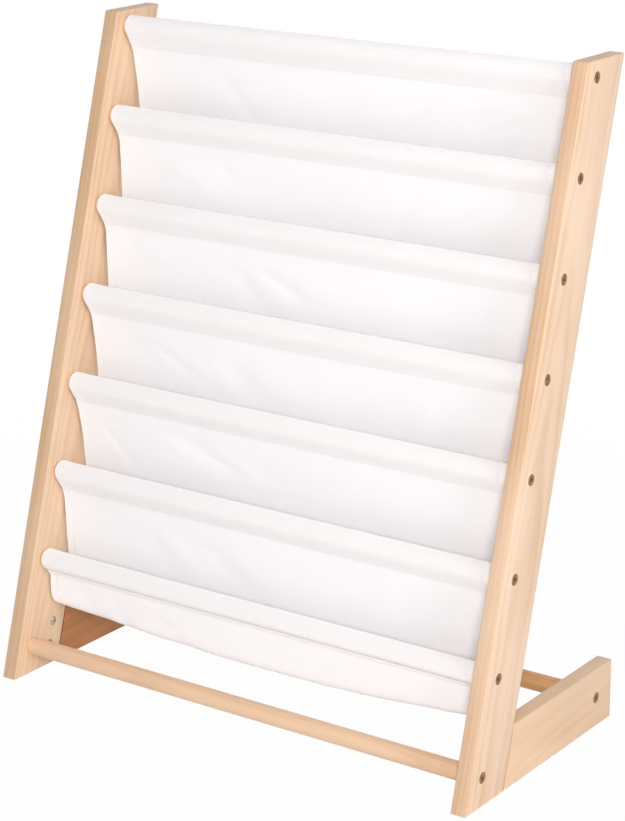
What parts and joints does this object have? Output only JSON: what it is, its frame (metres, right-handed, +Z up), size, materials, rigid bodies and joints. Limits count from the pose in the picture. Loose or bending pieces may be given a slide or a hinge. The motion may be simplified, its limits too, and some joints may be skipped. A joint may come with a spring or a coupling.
{
  "type": "sling bookshelf",
  "caption": "Free-standing children's sling bookshelf: raked pine uprights on feet, round rods between them and a canvas sling that hangs in pockets for books.",
  "frame": {"origin": "on the floor, at the middle of the footprint", "axes": "+X across to the side that is on the right from the front, +Y to the back, +Z up"},
  "size_m": [0.62, 0.305, 0.74],
  "materials": {
    "pine_board": "clear matt lacquer",
    "pine_rod": "clear matt lacquer",
    "canvas": "white cotton canvas",
    "screw_steel": "dark plated",
    "zinc": "zinc plated",
    "beech": "bare"
  },
  "bodies": {
    "root": {"upright_left": "pine_board", "upright_right": "pine_board", "foot_left": "pine_board", "foot_right": "pine_board", "sling_rod_1": "pine_rod", "sling_rod_2": "pine_rod", "sling_rod_3": "pine_rod", "sling_rod_4": "pine_rod", "sling_rod_5": "pine_rod", "sling_rod_6": "pine_rod", "sling_rod_7": "pine_rod", "front_rod": "pine_rod", "rear_rod": "pine_rod", "sleeve_1": "canvas", "sleeve_2": "canvas", "sleeve_3": "canvas", "sleeve_4": "canvas", "sleeve_5": "canvas", "sleeve_6": "canvas", "sleeve_7": "canvas", "pocket_1": "canvas", "pocket_2": "canvas", "pocket_3": "canvas", "pocket_4": "canvas", "pocket_5": "canvas", "pocket_6": "canvas", "screw_left_1": "screw_steel", "screw_left_2": "screw_steel", "screw_left_3": "screw_steel", "screw_left_4": "screw_steel", "screw_left_5": "screw_steel", "screw_left_6": "screw_steel", "screw_left_7": "screw_steel", "screw_left_front": "screw_steel", "screw_left_rear": "screw_steel", "screw_right_1": "screw_steel", "screw_right_2": "screw_steel", "screw_right_3": "screw_steel", "screw_right_4": "screw_steel", "screw_right_5": "screw_steel", "screw_right_6": "screw_steel", "screw_right_7": "screw_steel", "screw_right_front": "screw_steel", "screw_right_rear": "screw_steel", "cam_left_upper": "zinc", "cam_left_lower": "zinc", "cam_right_upper": "zinc", "cam_right_lower": "zinc", "cam_dowel_left_upper": "zinc", "cam_dowel_left_lower": "zinc", "cam_dowel_right_upper": "zinc", "cam_dowel_right_lower": "zinc", "wood_pin_left": "beech", "wood_pin_right": "beech"}
  },
  "joints": []
}
